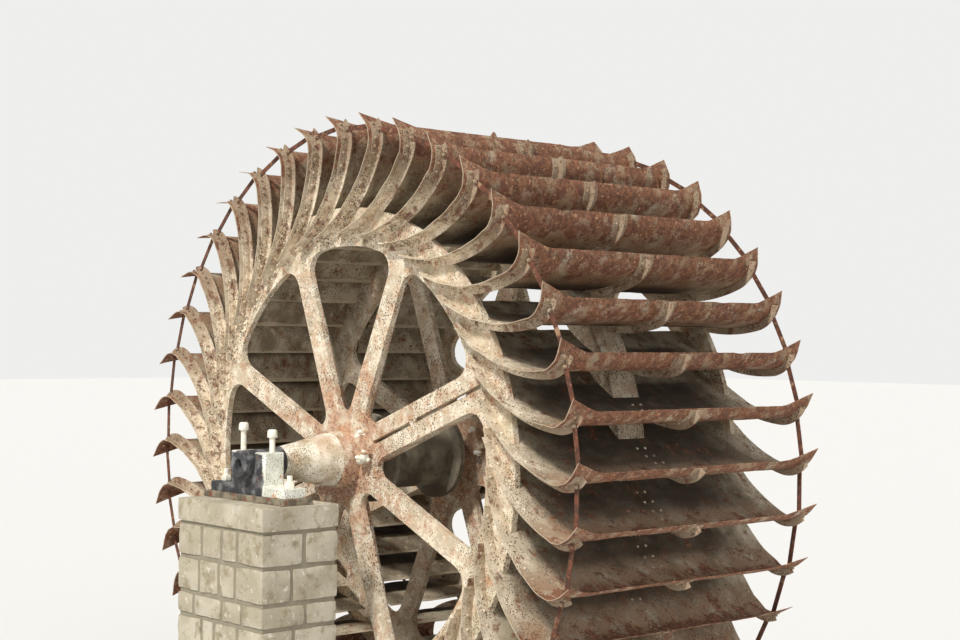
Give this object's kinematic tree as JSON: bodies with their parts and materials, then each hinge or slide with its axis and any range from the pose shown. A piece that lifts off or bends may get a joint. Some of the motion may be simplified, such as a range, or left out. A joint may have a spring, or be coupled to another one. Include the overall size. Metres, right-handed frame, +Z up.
{
  "type": "water wheel",
  "caption": "Large breast-shot iron water wheel with curved buckets on cast spiders, on a hollow shaft in open pedestal bearings.",
  "frame": {"origin": "on the floor, under the middle of the axle, at the centre of the part's footprint", "axes": "+X across the wheel, to the right seen from its near end; +Y along the axle, away from the near end; +Z up"},
  "size_m": [7.1046, 6.16, 7.1723],
  "materials": {
    "masonry": "coarse stone masonry",
    "sole_iron": "dull, weathered",
    "bolt_steel": "chalky, weathered",
    "bearing_iron": "dark, greasy",
    "shaft_iron": "flaking, lime stained",
    "cast_iron": "flaking, lime and moss stained with rust",
    "bucket_plate": "silt coated plate with rust",
    "bucket_iron": "silt coated with rust",
    "rusty_bar": "rusty"
  },
  "bodies": {
    "frame": {"pier_near": "masonry", "pier_far": "masonry", "sole_plate_near": "sole_iron", "sole_plate_far": "sole_iron", "bearing_near": "bearing_iron", "bearing_far": "bearing_iron", "bearing_bolts_near": "bolt_steel", "bearing_bolts_far": "bolt_steel"},
    "wheel": {"shaft": "shaft_iron", "spider_near_upper": "cast_iron", "spider_near_lower": "cast_iron", "spider_middle_upper": "cast_iron", "spider_middle_lower": "cast_iron", "spider_far_upper": "cast_iron", "spider_far_lower": "cast_iron", "clamp_bolts_near": "bolt_steel", "clamp_bolts_middle": "bolt_steel", "clamp_bolts_far": "bolt_steel", "bucket_irons_near": "bucket_iron", "bucket_irons_far": "bucket_iron", "bucket_cleats_near": "bucket_iron", "bucket_cleats_far": "bucket_iron", "tie_bars_near": "rusty_bar", "tie_bars_far": "rusty_bar", "buckets_near_1": "bucket_plate", "buckets_near_2": "bucket_plate", "buckets_near_3": "bucket_plate", "buckets_near_4": "bucket_plate", "buckets_near_5": "bucket_plate", "buckets_near_6": "bucket_plate", "buckets_near_7": "bucket_plate", "buckets_near_8": "bucket_plate", "buckets_far_1": "bucket_plate", "buckets_far_2": "bucket_plate", "buckets_far_3": "bucket_plate", "buckets_far_4": "bucket_plate", "buckets_far_5": "bucket_plate", "buckets_far_6": "bucket_plate", "buckets_far_7": "bucket_plate", "buckets_far_8": "bucket_plate"}
  },
  "joints": [
    {"name": "wheel_turn", "type": "hinge", "parent": "frame", "child": "wheel", "pos_m": [0, 0, 3.62], "axis": [0, 1, 0], "continuous": true}
  ]
}
